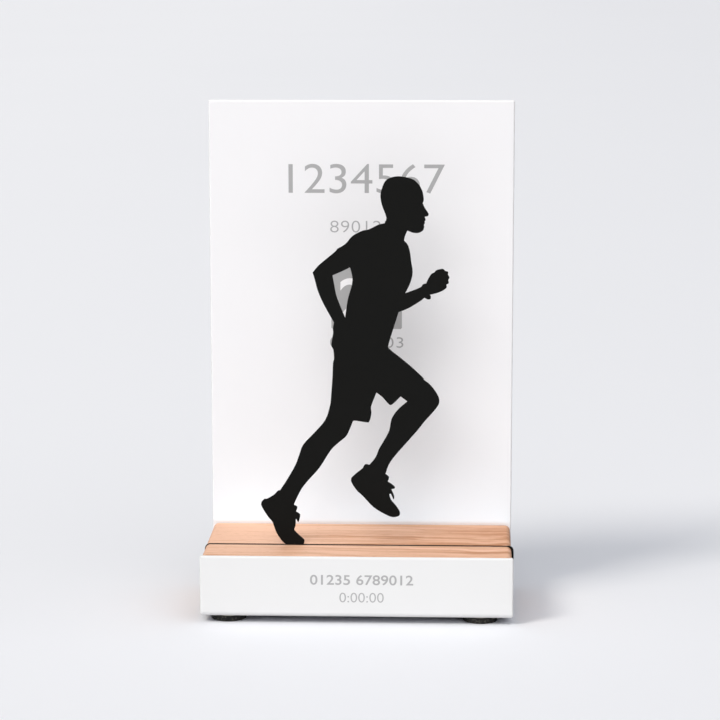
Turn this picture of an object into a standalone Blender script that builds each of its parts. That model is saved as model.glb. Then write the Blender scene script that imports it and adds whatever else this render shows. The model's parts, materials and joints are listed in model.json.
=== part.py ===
"""Figure trophy.

One white steel sheet, folded into a tall back panel, a floor and a short front lip, holds two
hardwood blocks. A running figure cut from black steel plate stands up between the blocks: its
foot runs into a rail as wide as the base, and the blocks clamp that rail.

Metres, +Z up. The front faces -Y and the origin is under the middle of the base, on the floor.
"""

import math

import bmesh
import bpy
from mathutils import Matrix, Vector

MM = 0.001

# Fits
FIT_GAP = 0.3 * MM              # clearance between pieces that touch
SAME_POINT = 0.001 * MM
ROUND_SEGMENTS = 24             # sides of a screw, dowel or hole
PAD_SEGMENTS = 40

# Sheet
SHEET_THICKNESS = 2.0 * MM
SHEET_WIDTH = 151.4 * MM
BEND_RADIUS = 0.5 * MM          # inside of each fold
BEND_STEPS = 6
SHEET_EDGE_RADIUS = 0.8 * MM
SHEET_EDGE_STEPS = 2
SQUARE_EDGE = math.radians(60)  # edges at least this sharp are eased
SMOOTH_BELOW = math.radians(35)
PANEL_ABOVE_WOOD = 214.5 * MM
BASE_HEIGHT = 30.0 * MM         # underside of the sheet to the top of the wood and the lip

# Wood
WOOD_WIDTH = 150.0 * MM
REAR_BLOCK_DEPTH = 42.0 * MM
FRONT_BLOCK_DEPTH = 21.5 * MM
WOOD_ROUNDING = 2.5 * MM        # top edges that run from front to back
WOOD_ROUNDING_STEPS = 5
WOOD_FOLD_RELIEF = 1.2 * MM     # bottom edge that lies in a fold of the sheet
WOOD_FOLD_STEPS = 3

# Plate
PLATE_THICKNESS = 2.0 * MM
RAIL_LEFT = -75.4 * MM          # the rail reaches past the wood, further at its right end
RAIL_RIGHT = 76.2 * MM
RAIL_ROUNDING = 2.5 * MM        # top corners, level with the rounded wood
CURVE_STEPS = 3                 # facets between two outline points

# Felt pads
PAD_RADIUS = 8.5 * MM
PAD_THICKNESS = 3.0 * MM
PAD_INSET = 2.3 * MM            # from the sheet's front and back faces
PAD_LEFT_X = -62.5 * MM
PAD_RIGHT_X = 60.0 * MM

# Dowels across the plate's rail
DOWEL_RADIUS = 3.0 * MM
DOWEL_X = 58.0 * MM
DOWEL_IN_REAR = 12.0 * MM
DOWEL_IN_FRONT = 10.0 * MM
DOWEL_CHAMFER = 0.6 * MM

# Countersunk screws that clamp the rail between the blocks
CLAMP_X = 25.0 * MM
CLAMP_ABOVE_MIDDLE = 4.0 * MM
CLAMP_RADIUS = 2.0 * MM
CLAMP_HEAD_RADIUS = 4.0 * MM
CLAMP_HEAD_DEPTH = 2.6 * MM
CLAMP_HEAD_SUNK = 0.5 * MM
CLAMP_LENGTH = 55.0 * MM
CLAMP_RECESS_DEPTH = 1.6 * MM

# Pan-head screws through the sheet's floor
FLOOR_SCREW_X = 40.0 * MM
FLOOR_SCREW_RADIUS = 1.75 * MM
FLOOR_HEAD_RADIUS = 3.4 * MM
FLOOR_HEAD_HEIGHT = 2.1 * MM
FLOOR_HEAD_FLAT_RADIUS = 2.1 * MM
FLOOR_HEAD_SHOULDER_RADIUS = 2.9 * MM
FLOOR_HEAD_SHOULDER_DEPTH = 0.35 * MM
FLOOR_HEAD_SIDE_DEPTH = 1.05 * MM
FLOOR_SCREW_LENGTH = 16.0 * MM
FLOOR_RECESS_DEPTH = 1.2 * MM

SCREW_TIP_LENGTH = 3.0 * MM
RECESS_ARM = 1.7 * MM           # cross recess, middle to end of an arm
RECESS_HALF_WIDTH = 0.4 * MM
DRILL_OVERRUN = 1.0 * MM        # how far a cutter runs past the face it enters

# Heights
SHEET_BOTTOM = PAD_THICKNESS + FIT_GAP
WOOD_BOTTOM = SHEET_BOTTOM + SHEET_THICKNESS + FIT_GAP
WOOD_TOP = SHEET_BOTTOM + BASE_HEIGHT
WOOD_MIDDLE = (WOOD_BOTTOM + WOOD_TOP) / 2
PANEL_TOP = WOOD_TOP + PANEL_ABOVE_WOOD
CLAMP_Z = WOOD_MIDDLE + CLAMP_ABOVE_MIDDLE

# Depths, front to back
DEPTH = (2 * SHEET_THICKNESS + REAR_BLOCK_DEPTH + PLATE_THICKNESS + FRONT_BLOCK_DEPTH
         + 4 * FIT_GAP)
SHEET_FRONT = -DEPTH / 2
SHEET_BACK = DEPTH / 2
FRONT_BLOCK_FRONT = SHEET_FRONT + SHEET_THICKNESS + FIT_GAP
FRONT_BLOCK_BACK = FRONT_BLOCK_FRONT + FRONT_BLOCK_DEPTH
PLATE_FRONT = FRONT_BLOCK_BACK + FIT_GAP
PLATE_BACK = PLATE_FRONT + PLATE_THICKNESS
REAR_BLOCK_FRONT = PLATE_BACK + FIT_GAP
REAR_BLOCK_BACK = REAR_BLOCK_FRONT + REAR_BLOCK_DEPTH

# The runner's outline in millimetres: x to the right and z up, from the middle of the wood's top.
# Each stroke is one smooth line and starts where the one before ends; where two meet is a corner.
RUNNER_STROKES = {
    "rear_shoe_toe": [
        (-26.8, 0.0), (-26.4, 2.0), (-28.0, 3.7), (-31.3, 7.0), (-30.8, 9.2), (-30.5, 13.3)],
    "rear_shoe_lace": [
        (-30.5, 13.3), (-29.3, 11.3), (-28.5, 13.9), (-28.7, 15.2), (-30.5, 16.4)],
    "rear_shoe_tongue": [
        (-30.5, 16.4), (-29.8, 18.7), (-31.5, 19.7)],
    "rear_shin": [
        (-31.5, 19.7), (-30.6, 22.1), (-27.4, 28.4), (-23.3, 33.5), (-18.7, 38.8),
        (-13.3, 47.4), (-9.6, 51.1), (-6.0, 54.2), (-4.4, 57.0), (-2.5, 61.8)],
    "rear_hem": [
        (-2.5, 61.8), (-1.5, 62.2), (2.5, 61.6), (5.2, 61.3)],
    "rear_shorts_leg": [
        (5.2, 61.3), (6.0, 63.1), (6.5, 66.0), (6.4, 69.3), (9.0, 76.2)],
    "front_shorts_leg": [
        (9.0, 76.2), (12.2, 73.6), (14.8, 70.6), (16.6, 70.3), (20.7, 74.3)],
    "knee_back": [
        (20.7, 74.3), (24.1, 71.8)],
    "front_calf": [
        (24.1, 71.8), (20.3, 68.5), (17.8, 65.6), (16.1, 62.3), (15.1, 57.0), (12.5, 52.0),
        (10.2, 48.0), (8.5, 43.8), (5.5, 40.0)],
    "front_shoe_collar": [
        (5.5, 40.0), (3.4, 40.3), (2.2, 38.3)],
    "front_shoe_sole": [
        (2.2, 38.3), (-1.9, 34.9), (-3.5, 32.4), (-0.9, 27.8), (2.4, 24.6), (7.6, 19.1),
        (13.3, 15.6), (17.0, 14.2), (20.0, 14.9), (20.4, 16.6), (18.7, 19.5), (16.0, 22.8),
        (15.2, 25.6)],
    "front_shoe_lower_lace": [
        (15.2, 25.6), (16.1, 25.8), (17.3, 23.1), (17.6, 24.6), (16.1, 28.2)],
    "front_shoe_upper_lace": [
        (16.1, 28.2), (18.1, 28.8), (16.3, 30.6), (14.4, 31.7)],
    "front_shoe_tongue": [
        (14.4, 31.7), (15.1, 34.0), (13.4, 35.5)],
    "front_shin": [
        (13.4, 35.5), (15.0, 40.4), (18.2, 45.1), (23.0, 50.7), (29.2, 57.9), (32.5, 62.2),
        (36.4, 66.6), (38.8, 69.8), (39.5, 72.3), (38.4, 75.4), (35.2, 79.8), (32.0, 82.3)],
    "thigh_and_shirt": [
        (32.0, 82.3), (31.2, 83.8), (25.1, 89.4), (19.9, 93.7), (15.2, 97.5), (14.8, 99.6),
        (16.9, 106.8), (19.7, 115.7)],
    "front_forearm_below": [
        (19.7, 115.7), (24.6, 117.7), (30.2, 121.2), (32.1, 122.8)],
    "watch": [
        (32.1, 122.8), (33.4, 122.0), (34.9, 122.1), (35.2, 123.0), (34.6, 124.2)],
    "fist": [
        (34.6, 124.2), (37.9, 125.0), (40.8, 126.2), (42.7, 127.7), (42.7, 129.2),
        (43.8, 129.9), (43.5, 131.4), (44.1, 132.5), (43.4, 133.9), (43.4, 135.3),
        (42.1, 135.6), (41.1, 136.6), (39.4, 136.5), (37.6, 135.9), (36.8, 134.9),
        (35.4, 134.2), (33.7, 131.5), (32.9, 129.5)],
    "front_forearm_above": [
        (32.9, 129.5), (31.3, 129.1), (29.9, 127.5), (22.7, 124.7)],
    "chest": [
        (22.7, 124.7), (25.2, 129.7), (26.4, 135.0), (25.7, 139.8), (25.2, 144.0),
        (24.1, 148.1), (22.2, 150.3)],
    "throat": [
        (22.2, 150.3), (22.7, 152.6), (23.8, 155.3)],
    "beard": [
        (23.8, 155.3), (26.4, 154.3), (29.2, 154.2), (31.3, 155.4), (31.9, 157.0),
        (31.7, 158.0), (32.2, 158.9), (31.9, 159.6)],
    "upper_lip": [
        (31.9, 159.6), (32.5, 160.3), (32.3, 161.2), (32.0, 162.0)],
    "nose": [
        (32.0, 162.0), (33.5, 162.3), (34.0, 163.2), (33.3, 164.4), (32.0, 166.4),
        (31.1, 168.4)],
    "forehead": [
        (31.1, 168.4), (31.6, 169.9), (31.5, 171.4), (31.0, 174.0), (29.7, 176.8)],
    "hair": [
        (29.7, 176.8), (28.1, 178.6), (25.6, 180.2), (19.8, 181.3), (15.1, 180.4),
        (12.6, 178.1), (10.9, 172.9), (11.5, 167.8), (13.7, 161.6), (12.8, 158.6)],
    "shoulder": [
        (12.8, 158.6), (10.0, 158.0), (5.1, 155.6), (2.2, 155.0), (-2.7, 152.4),
        (-6.1, 148.5), (-10.2, 146.1)],
    "upper_arm": [
        (-10.2, 146.1), (-10.8, 145.0), (-15.5, 141.1), (-19.2, 137.9), (-21.8, 134.7)],
    "rear_forearm": [
        (-21.8, 134.7), (-20.8, 131.4), (-19.3, 125.8), (-16.4, 119.1), (-11.6, 110.5)],
    "back_and_shorts": [
        (-11.6, 110.5), (-12.1, 107.4), (-12.0, 105.2), (-12.9, 99.5), (-11.9, 97.0),
        (-11.6, 92.5), (-12.1, 90.5), (-12.4, 83.1), (-13.2, 72.4)],
    "rear_calf": [
        (-13.2, 72.4), (-13.7, 69.2), (-16.0, 62.2), (-21.3, 55.9), (-26.8, 49.9),
        (-28.7, 45.0), (-30.9, 39.2), (-34.6, 32.7), (-38.3, 26.9)],
    "rear_shoe_collar": [
        (-38.3, 26.9), (-39.4, 26.7), (-41.2, 24.8), (-44.4, 22.8), (-45.8, 22.7)],
    "rear_shoe_sole": [
        (-45.8, 22.7), (-47.6, 20.1), (-44.3, 14.1), (-42.0, 11.3), (-40.2, 6.2),
        (-37.1, 1.5), (-34.8, 0.0)],
}

# The gap between the runner's bent arm and the back, in the same frame
ARM_GAP_STROKES = {
    "shirt_side": [
        (-3.8, 137.4), (-2.7, 132.9), (-2.9, 128.8), (-4.9, 121.7), (-6.2, 112.6)],
    "forearm_side": [
        (-6.2, 112.6), (-10.1, 122.4), (-11.4, 128.4), (-12.3, 133.4)],
    "sleeve_side": [
        (-12.3, 133.4), (-7.1, 135.7), (-3.8, 137.4)],
}


def clear_scene():
    for item in list(bpy.data.objects):
        bpy.data.objects.remove(item, do_unlink=True)


def make_material(name, colour, roughness, metallic=0.0):
    material = bpy.data.materials.new(name)
    material.use_nodes = True
    shader = material.node_tree.nodes["Principled BSDF"]
    shader.inputs["Base Color"].default_value = (*colour, 1.0)
    shader.inputs["Roughness"].default_value = roughness
    shader.inputs["Metallic"].default_value = metallic
    material.diffuse_color = (*colour, 1.0)
    return material


def add_object(name, bm, material=None, smooth=False):
    """Turn a bmesh into a named object and link it to the scene."""
    mesh = bpy.data.meshes.new(name)
    bm.to_mesh(mesh)
    bm.free()
    if smooth:
        mesh.shade_smooth()
        mesh.set_sharp_from_angle(angle=SMOOTH_BELOW)
    if material is not None:
        mesh.materials.append(material)
    item = bpy.data.objects.new(name, mesh)
    bpy.context.scene.collection.objects.link(item)
    return item


def add_cutter(name, bm):
    cutter = add_object(name, bm)
    cutter.hide_render = True
    cutter.display_type = "WIRE"
    return cutter


def subtract(item, cutter):
    modifier = item.modifiers.new(cutter.name, "BOOLEAN")
    modifier.operation = "DIFFERENCE"
    modifier.solver = "EXACT"
    modifier.object = cutter


def lathe(bm, profile, place, segments=ROUND_SEGMENTS):
    """Turn a profile of (radius, height) points, axis to axis, into a closed body at place."""
    body = bmesh.new()
    points = [body.verts.new((radius, 0.0, height)) for radius, height in profile]
    edges = [body.edges.new(pair) for pair in zip(points, points[1:])]
    bmesh.ops.spin(
        body, geom=points + edges, cent=(0, 0, 0), axis=(0, 0, 1), dvec=(0, 0, 0),
        angle=math.tau, steps=segments, use_merge=True, use_duplicate=False)
    bmesh.ops.remove_doubles(body, verts=body.verts, dist=SAME_POINT)
    bmesh.ops.recalc_face_normals(body, faces=body.faces)
    bmesh.ops.transform(body, matrix=place, verts=body.verts)
    turned = bpy.data.meshes.new("turned")
    body.to_mesh(turned)
    body.free()
    bm.from_mesh(turned)
    bpy.data.meshes.remove(turned)


def facing(direction, x, y, z):
    """A matrix that turns +Z towards a direction and moves the origin to a point."""
    turn = Vector(direction).to_track_quat("Z", "Y").to_matrix().to_4x4()
    return Matrix.Translation((x, y, z)) @ turn


def arc(centre_across, centre_up, radius, start, end, steps):
    """Points of an arc in an upright plane, between two angles in degrees."""
    points = []
    for step in range(steps + 1):
        angle = math.radians(start + (end - start) * step / steps)
        points.append((
            centre_across + radius * math.cos(angle), centre_up + radius * math.sin(angle)))
    return points


def extrude_faces(bm, faces, offset):
    grown = bmesh.ops.extrude_face_region(bm, geom=faces)["geom"]
    verts = [element for element in grown if isinstance(element, bmesh.types.BMVert)]
    bmesh.ops.translate(bm, verts=verts, vec=offset)
    bmesh.ops.recalc_face_normals(bm, faces=bm.faces)


def folded_sheet(material):
    """Back panel, floor and front lip, folded from one sheet."""
    outer = BEND_RADIUS + SHEET_THICKNESS
    fold_z = SHEET_BOTTOM + outer
    front_y = SHEET_FRONT + outer
    back_y = SHEET_BACK - outer
    side = [(SHEET_FRONT, WOOD_TOP)]
    side += arc(front_y, fold_z, outer, 180, 270, BEND_STEPS)
    side += arc(back_y, fold_z, outer, 270, 360, BEND_STEPS)
    side += [(SHEET_BACK, PANEL_TOP), (SHEET_BACK - SHEET_THICKNESS, PANEL_TOP)]
    side += arc(back_y, fold_z, BEND_RADIUS, 360, 270, BEND_STEPS)
    side += arc(front_y, fold_z, BEND_RADIUS, 270, 180, BEND_STEPS)
    side += [(SHEET_FRONT + SHEET_THICKNESS, WOOD_TOP)]
    bm = bmesh.new()
    corners = [bm.verts.new((-SHEET_WIDTH / 2, y, z)) for y, z in side]
    extrude_faces(bm, [bm.faces.new(corners)], (SHEET_WIDTH, 0, 0))
    item = add_object("folded_sheet", bm, material, smooth=True)
    edge = item.modifiers.new("eased_edges", "BEVEL")
    edge.width = SHEET_EDGE_RADIUS
    edge.segments = SHEET_EDGE_STEPS
    edge.limit_method = "ANGLE"
    edge.angle_limit = SQUARE_EDGE
    return item


def wood_block(name, front, back, fold_at, material):
    """A block with rounded top side edges and a relief where it lies in a fold of the sheet."""
    bm = bmesh.new()
    height = WOOD_TOP - WOOD_BOTTOM
    size = Matrix.Diagonal((WOOD_WIDTH, back - front, height, 1))
    centre = Matrix.Translation((0, (front + back) / 2, WOOD_MIDDLE))
    bmesh.ops.create_cube(bm, size=1.0, matrix=centre @ size)
    top_sides = []
    in_fold = []
    for edge in bm.edges:
        middle = (edge.verts[0].co + edge.verts[1].co) / 2
        at_side = abs(abs(middle.x) - WOOD_WIDTH / 2) < FIT_GAP
        if at_side and abs(middle.z - WOOD_TOP) < FIT_GAP:
            top_sides.append(edge)
        if abs(middle.y - fold_at) < FIT_GAP and abs(middle.z - WOOD_BOTTOM) < FIT_GAP:
            in_fold.append(edge)
    bmesh.ops.bevel(
        bm, geom=top_sides, offset=WOOD_ROUNDING, offset_type="OFFSET", affect="EDGES",
        segments=WOOD_ROUNDING_STEPS, profile=0.5, material=-1)
    bmesh.ops.bevel(
        bm, geom=in_fold, offset=WOOD_FOLD_RELIEF, offset_type="OFFSET", affect="EDGES",
        segments=WOOD_FOLD_STEPS, profile=0.5, material=-1)
    return add_object(name, bm, material, smooth=True)


def smooth_stroke(points):
    """A Catmull-Rom curve through a stroke's points, without its last point."""
    ends = [points[0]] + points + [points[-1]]
    curve = []
    for before, start, end, after in zip(ends, ends[1:], ends[2:], ends[3:]):
        p0, p1, p2, p3 = (Vector(point) for point in (before, start, end, after))
        for step in range(CURVE_STEPS):
            t = step / CURVE_STEPS
            bend = 2 * p0 - 5 * p1 + 4 * p2 - p3
            twist = 3 * p1 - 3 * p2 + p3 - p0
            curve.append(p1 + ((p2 - p0) * t + bend * t ** 2 + twist * t ** 3) / 2)
    return curve


def closed_outline(strokes):
    outline = []
    for points in strokes.values():
        outline += smooth_stroke(points)
    return outline


def outline_edges(bm, outline):
    """A closed ring of edges on the plate's front face, from points in millimetres."""
    ring = [bm.verts.new((point[0] * MM, PLATE_FRONT, WOOD_TOP + point[1] * MM))
            for point in outline]
    return [bm.edges.new(pair) for pair in zip(ring, ring[1:] + ring[:1])]


def runner_plate(material):
    """The runner and the rail under it, cut from one plate."""
    left = RAIL_LEFT / MM
    right = RAIL_RIGHT / MM
    rail_bottom = (WOOD_BOTTOM - WOOD_TOP) / MM
    corner = RAIL_ROUNDING / MM
    heel_end = RUNNER_STROKES["rear_shoe_sole"][-1]
    outline = closed_outline(RUNNER_STROKES)
    outline += [heel_end]
    outline += arc(left + corner, -corner, corner, 90, 180, WOOD_ROUNDING_STEPS)
    outline += [(left, rail_bottom), (right, rail_bottom)]
    outline += arc(right - corner, -corner, corner, 0, 90, WOOD_ROUNDING_STEPS)
    bm = bmesh.new()
    edges = outline_edges(bm, outline) + outline_edges(bm, closed_outline(ARM_GAP_STROKES))
    bmesh.ops.triangle_fill(bm, use_beauty=True, use_dissolve=False, edges=edges)
    extrude_faces(bm, list(bm.faces), (0, PLATE_THICKNESS, 0))
    return add_object("runner_plate", bm, material)


def felt_pad(name, x, y, material):
    bm = bmesh.new()
    profile = [(0, 0), (PAD_RADIUS, 0), (PAD_RADIUS, PAD_THICKNESS), (0, PAD_THICKNESS)]
    lathe(bm, profile, Matrix.Translation((x, y, 0)), PAD_SEGMENTS)
    return add_object(name, bm, material, smooth=True)


def dowel(name, x, material):
    """A chamfered pin across the plate's rail, from the front block into the rear one."""
    start = PLATE_FRONT - DOWEL_IN_FRONT
    length = PLATE_BACK + DOWEL_IN_REAR - start
    waist = DOWEL_RADIUS - DOWEL_CHAMFER
    profile = [
        (0, 0), (waist, 0), (DOWEL_RADIUS, DOWEL_CHAMFER),
        (DOWEL_RADIUS, length - DOWEL_CHAMFER), (waist, length), (0, length)]
    bm = bmesh.new()
    lathe(bm, profile, facing((0, 1, 0), x, start, WOOD_MIDDLE))
    return add_object(name, bm, material, smooth=True)


def cross_recess(name, places, depth):
    """Cutters for the cross in each screw head; each runs along +Z from its own origin."""
    arm = RECESS_ARM
    half = RECESS_HALF_WIDTH
    corners = [
        (half, half), (half, arm), (-half, arm), (-half, half), (-arm, half), (-arm, -half),
        (-half, -half), (-half, -arm), (half, -arm), (half, -half), (arm, -half), (arm, half)]
    bm = bmesh.new()
    for place in places:
        verts = [bm.verts.new((x, y, -DRILL_OVERRUN)) for x, y in corners]
        face = bm.faces.new(verts)
        grown = bmesh.ops.extrude_face_region(bm, geom=[face])["geom"]
        tops = [element for element in grown if isinstance(element, bmesh.types.BMVert)]
        bmesh.ops.translate(bm, verts=tops, vec=(0, 0, depth + DRILL_OVERRUN))
        bmesh.ops.transform(bm, matrix=place, verts=verts + tops)
    bmesh.ops.recalc_face_normals(bm, faces=bm.faces)
    return add_cutter(name, bm)


def clamp_screw(name, place, recess, material):
    """A countersunk wood screw; its head's face is at place and its point runs along +Z."""
    profile = [
        (0, 0), (CLAMP_HEAD_RADIUS, 0), (CLAMP_RADIUS, CLAMP_HEAD_DEPTH),
        (CLAMP_RADIUS, CLAMP_LENGTH - SCREW_TIP_LENGTH), (0, CLAMP_LENGTH)]
    bm = bmesh.new()
    lathe(bm, profile, place)
    item = add_object(name, bm, material, smooth=True)
    subtract(item, recess)
    return item


def floor_screw(name, place, recess, material):
    """A pan-head screw; its head's top is at place and its point runs along +Z."""
    end = FLOOR_HEAD_HEIGHT + FLOOR_SCREW_LENGTH
    profile = [
        (0, 0), (FLOOR_HEAD_FLAT_RADIUS, 0),
        (FLOOR_HEAD_SHOULDER_RADIUS, FLOOR_HEAD_SHOULDER_DEPTH),
        (FLOOR_HEAD_RADIUS, FLOOR_HEAD_SIDE_DEPTH), (FLOOR_HEAD_RADIUS, FLOOR_HEAD_HEIGHT),
        (FLOOR_SCREW_RADIUS, FLOOR_HEAD_HEIGHT), (FLOOR_SCREW_RADIUS, end - SCREW_TIP_LENGTH),
        (0, end)]
    bm = bmesh.new()
    lathe(bm, profile, place)
    item = add_object(name, bm, material, smooth=True)
    subtract(item, recess)
    return item


def round_bores(name, profile, places):
    bm = bmesh.new()
    for place in places:
        lathe(bm, profile, place)
    return add_cutter(name, bm)


def dowel_bores():
    radius = DOWEL_RADIUS + FIT_GAP
    start = PLATE_FRONT - DOWEL_IN_FRONT - FIT_GAP
    length = PLATE_BACK + DOWEL_IN_REAR + FIT_GAP - start
    profile = [(0, 0), (radius, 0), (radius, length), (0, length)]
    places = [facing((0, 1, 0), x, start, WOOD_MIDDLE) for x in (-DOWEL_X, DOWEL_X)]
    return round_bores("dowel_bores", profile, places)


def clamp_bores(places):
    """Stepped bores, wider than the screws all round, open through the rear block's back."""
    shank = CLAMP_RADIUS + FIT_GAP
    head = CLAMP_HEAD_RADIUS + FIT_GAP
    end = CLAMP_LENGTH + FIT_GAP
    profile = [
        (0, -DRILL_OVERRUN), (head, -DRILL_OVERRUN), (head, FIT_GAP),
        (shank, CLAMP_HEAD_DEPTH + FIT_GAP), (shank, end), (0, end)]
    return round_bores("clamp_bores", profile, places)


def floor_bores(places):
    """Bores up through the sheet's floor and into the wood."""
    radius = FLOOR_SCREW_RADIUS + FIT_GAP
    start = FLOOR_HEAD_HEIGHT
    end = FLOOR_HEAD_HEIGHT + FLOOR_SCREW_LENGTH + FIT_GAP
    profile = [(0, start), (radius, start), (radius, end), (0, end)]
    return round_bores("floor_bores", profile, places)


def build():
    clear_scene()
    white = make_material("white_powder_coat", (0.86, 0.86, 0.85), 0.42)
    black = make_material("black_powder_coat", (0.012, 0.012, 0.012), 0.55)
    wood = make_material("beech", (0.60, 0.36, 0.21), 0.5)
    steel = make_material("zinc_plated_steel", (0.62, 0.62, 0.60), 0.3, metallic=1.0)
    felt = make_material("felt", (0.03, 0.03, 0.03), 0.95)

    sheet = folded_sheet(white)
    rear = wood_block("rear_wood_block", REAR_BLOCK_FRONT, REAR_BLOCK_BACK, REAR_BLOCK_BACK, wood)
    front = wood_block(
        "front_wood_block", FRONT_BLOCK_FRONT, FRONT_BLOCK_BACK, FRONT_BLOCK_FRONT, wood)
    runner = runner_plate(black)

    clamp_places = [
        facing((0, -1, 0), x, REAR_BLOCK_BACK - CLAMP_HEAD_SUNK, CLAMP_Z)
        for x in (-CLAMP_X, CLAMP_X)]
    head_z = SHEET_BOTTOM - FIT_GAP - FLOOR_HEAD_HEIGHT
    floor_rows = {
        "front": (FRONT_BLOCK_FRONT + FRONT_BLOCK_BACK) / 2,
        "rear": (REAR_BLOCK_FRONT + REAR_BLOCK_BACK) / 2,
    }
    floor_places = {
        f"{row}_{side}": Matrix.Translation((x, y, head_z))
        for row, y in floor_rows.items()
        for side, x in (("left", -FLOOR_SCREW_X), ("right", FLOOR_SCREW_X))}

    across = dowel_bores()
    clamped = clamp_bores(clamp_places)
    upward = floor_bores(floor_places.values())
    for item, bores in (
            (rear, (across, clamped, upward)), (front, (across, clamped, upward)),
            (runner, (across, clamped)), (sheet, (upward,))):
        for cutter in bores:
            subtract(item, cutter)

    clamp_recess = cross_recess("clamp_recess", clamp_places, CLAMP_RECESS_DEPTH)
    for side, place in zip(("left", "right"), clamp_places):
        clamp_screw(f"clamp_screw_{side}", place, clamp_recess, steel)
    floor_recess = cross_recess("floor_recess", floor_places.values(), FLOOR_RECESS_DEPTH)
    for spot, place in floor_places.items():
        floor_screw(f"floor_screw_{spot}", place, floor_recess, steel)
    for side, x in (("left", -DOWEL_X), ("right", DOWEL_X)):
        dowel(f"dowel_{side}", x, wood)

    pad_reach = DEPTH / 2 - PAD_INSET - PAD_RADIUS
    for row, y in (("front", -pad_reach), ("rear", pad_reach)):
        for side, x in (("left", PAD_LEFT_X), ("right", PAD_RIGHT_X)):
            felt_pad(f"felt_pad_{row}_{side}", x, y, felt)


build()
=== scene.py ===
import json
import math
import random

import bmesh
import bpy
from mathutils import Matrix, Vector, noise

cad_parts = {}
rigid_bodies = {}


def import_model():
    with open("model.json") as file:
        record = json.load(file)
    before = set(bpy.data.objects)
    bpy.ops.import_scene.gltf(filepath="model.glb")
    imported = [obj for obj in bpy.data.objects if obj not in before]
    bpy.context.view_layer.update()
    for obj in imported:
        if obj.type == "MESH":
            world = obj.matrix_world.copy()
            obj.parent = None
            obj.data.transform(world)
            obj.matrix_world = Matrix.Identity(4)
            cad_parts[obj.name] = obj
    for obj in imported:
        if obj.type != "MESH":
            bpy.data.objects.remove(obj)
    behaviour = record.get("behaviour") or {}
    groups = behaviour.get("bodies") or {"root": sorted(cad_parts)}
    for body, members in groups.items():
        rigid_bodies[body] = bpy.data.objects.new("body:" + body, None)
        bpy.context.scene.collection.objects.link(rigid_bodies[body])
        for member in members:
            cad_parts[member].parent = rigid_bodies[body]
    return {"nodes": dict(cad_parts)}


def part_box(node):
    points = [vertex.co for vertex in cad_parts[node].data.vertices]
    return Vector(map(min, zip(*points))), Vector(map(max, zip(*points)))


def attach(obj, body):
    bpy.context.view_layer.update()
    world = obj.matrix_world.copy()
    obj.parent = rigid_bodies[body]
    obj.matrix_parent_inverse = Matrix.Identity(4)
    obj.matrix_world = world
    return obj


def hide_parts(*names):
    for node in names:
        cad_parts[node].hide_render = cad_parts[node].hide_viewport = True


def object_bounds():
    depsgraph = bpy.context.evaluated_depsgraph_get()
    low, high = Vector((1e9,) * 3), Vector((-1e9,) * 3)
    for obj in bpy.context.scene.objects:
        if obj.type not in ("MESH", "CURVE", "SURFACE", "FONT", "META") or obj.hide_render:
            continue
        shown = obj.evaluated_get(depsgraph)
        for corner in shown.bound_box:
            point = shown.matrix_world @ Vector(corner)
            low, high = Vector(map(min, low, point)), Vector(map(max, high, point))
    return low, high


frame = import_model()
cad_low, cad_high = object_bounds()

MM = 0.001
BODY = "root"

# The folded sheet
SHEET_THICKNESS = 2.0 * MM
FOLD_RADIUS = 0.5 * MM              # inside of each fold
FOLD_STEPS = 14
SHEET_EDGE_RADIUS = 0.9 * MM
SHEET_EDGE_STEPS = 4
LIP_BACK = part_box("folded_sheet")[0].y + 2.5 * MM
LIP_BLEND = 1.0 * MM                # over which the lip's painted shade fades in
HOLE_CLEARANCE = 0.3 * MM
HOLE_SEGMENTS = 40

# The wood and the plate
WOOD_ARRIS = 0.3 * MM
PLATE_ARRIS = 0.18 * MM
ARRIS_STEPS = 2
SQUARE_EDGE = 60.0                  # degrees; edges at least this sharp are eased
FLAT_ENOUGH = 0.5                   # degrees; faces closer to flat than this are joined
MERGE_DISTANCE = 0.002 * MM
PITH_Y = -60.0 * MM
PITH_Z = -20.0 * MM
RING_SPACING = 6.5 * MM
RING_DRIFT = 12.0 * MM

# Prints: width and height of each number, and its middle over the wood's top
INK_THICKNESS = 0.04 * MM
TILE_INK_THICKNESS = INK_THICKNESS / 2   # thinner, so that the tile's number stands over it
DIGIT_STEPS = 8                     # points on each curve of a digit
DIGIT_DEPTH = 0.01                  # in the typeface's own units, as is the next
DIGIT_MERGE = 0.0001
PRINT_X = 2.6 * MM
TITLE_SIZE = (77.5 * MM, 14.6 * MM)
TITLE_Z = 175.6 * MM
SUBTITLE_SIZE = (36.2 * MM, 5.9 * MM)
SUBTITLE_Z = 151.7 * MM
TILE_SIZE = (35.3 * MM, 31.1 * MM)
TILE_CORNER = 0.4 * MM
TILE_CORNER_STEPS = 6
TILE_Z = 115.8 * MM
TILE_NUMBER_SIZE = (27.0 * MM, 20.0 * MM)
DATE_SIZE = (36.7 * MM, 5.3 * MM)
DATE_Z = 93.4 * MM
NAME_SIZE = (49.8 * MM, 5.0 * MM)
NAME_Z = -11.3 * MM
TIME_SIZE = (21.4 * MM, 4.8 * MM)
TIME_Z = -20.0 * MM

# Felt pads
PAD_SEGMENTS = 72
FELT_EDGE = 0.5 * MM
FELT_EDGE_STEPS = 4
FELT_LUMP = 0.12 * MM
FELT_LUMPS_PER_METRE = 900
FELT_FILM = 0.25 * MM
FILM_RIM = 0.985                    # the adhesive's radius as a share of the pad's
FIBRES_PER_PAD = 320
FIBRE_RADIUS = 0.018 * MM
FIBRE_SIDES = 3
FIBRE_LENGTHS = (0.25, 0.8)         # mm, shortest and longest
FIBRE_LEAN = 1.1                    # radians to either side
FIBRE_CLIMB = 0.15                  # mm up or down
FIBRE_ROOT = 0.15 * MM              # how deep a fibre starts in the pad
FIBRE_MARGIN = 0.2 * MM             # bare height at the pad's top and bottom

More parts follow.
